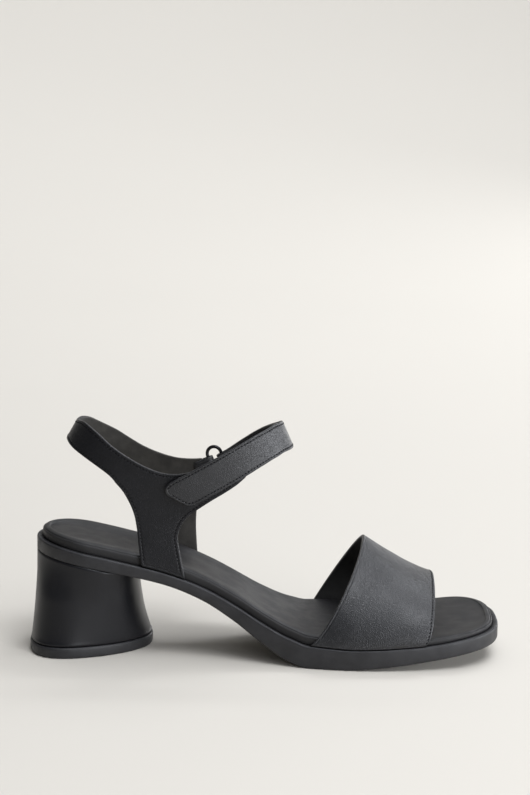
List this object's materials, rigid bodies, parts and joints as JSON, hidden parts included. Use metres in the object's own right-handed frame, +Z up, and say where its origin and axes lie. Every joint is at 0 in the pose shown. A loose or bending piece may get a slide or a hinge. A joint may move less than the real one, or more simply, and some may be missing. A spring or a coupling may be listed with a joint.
{
  "type": "block heel sandal",
  "caption": "Right-foot sandal with a wide vamp band, heel quarter, ankle strap folded through a ring to a tab, padded footbed and covered block heel.",
  "frame": {"origin": "middle of the heel's tread, on the floor", "axes": "+X towards the toe, +Y towards the inner (medial) side of this right shoe, +Z up"},
  "size_m": [0.2438, 0.0876, 0.1212],
  "materials": {
    "sole_rubber": "matte moulded",
    "heel_cover": "smooth satin",
    "footbed_leather": "smooth matte",
    "upper_leather": "fine pebbled satin",
    "ring_metal": "black satin"
  },
  "bodies": {
    "root": {"outsole": "sole_rubber", "heel_block": "heel_cover", "heel_top_lift": "sole_rubber", "footbed": "footbed_leather", "vamp_band": "upper_leather", "heel_quarter": "upper_leather", "ankle_strap": "upper_leather", "strap_ring": "ring_metal", "ring_keeper": "upper_leather"}
  },
  "joints": []
}
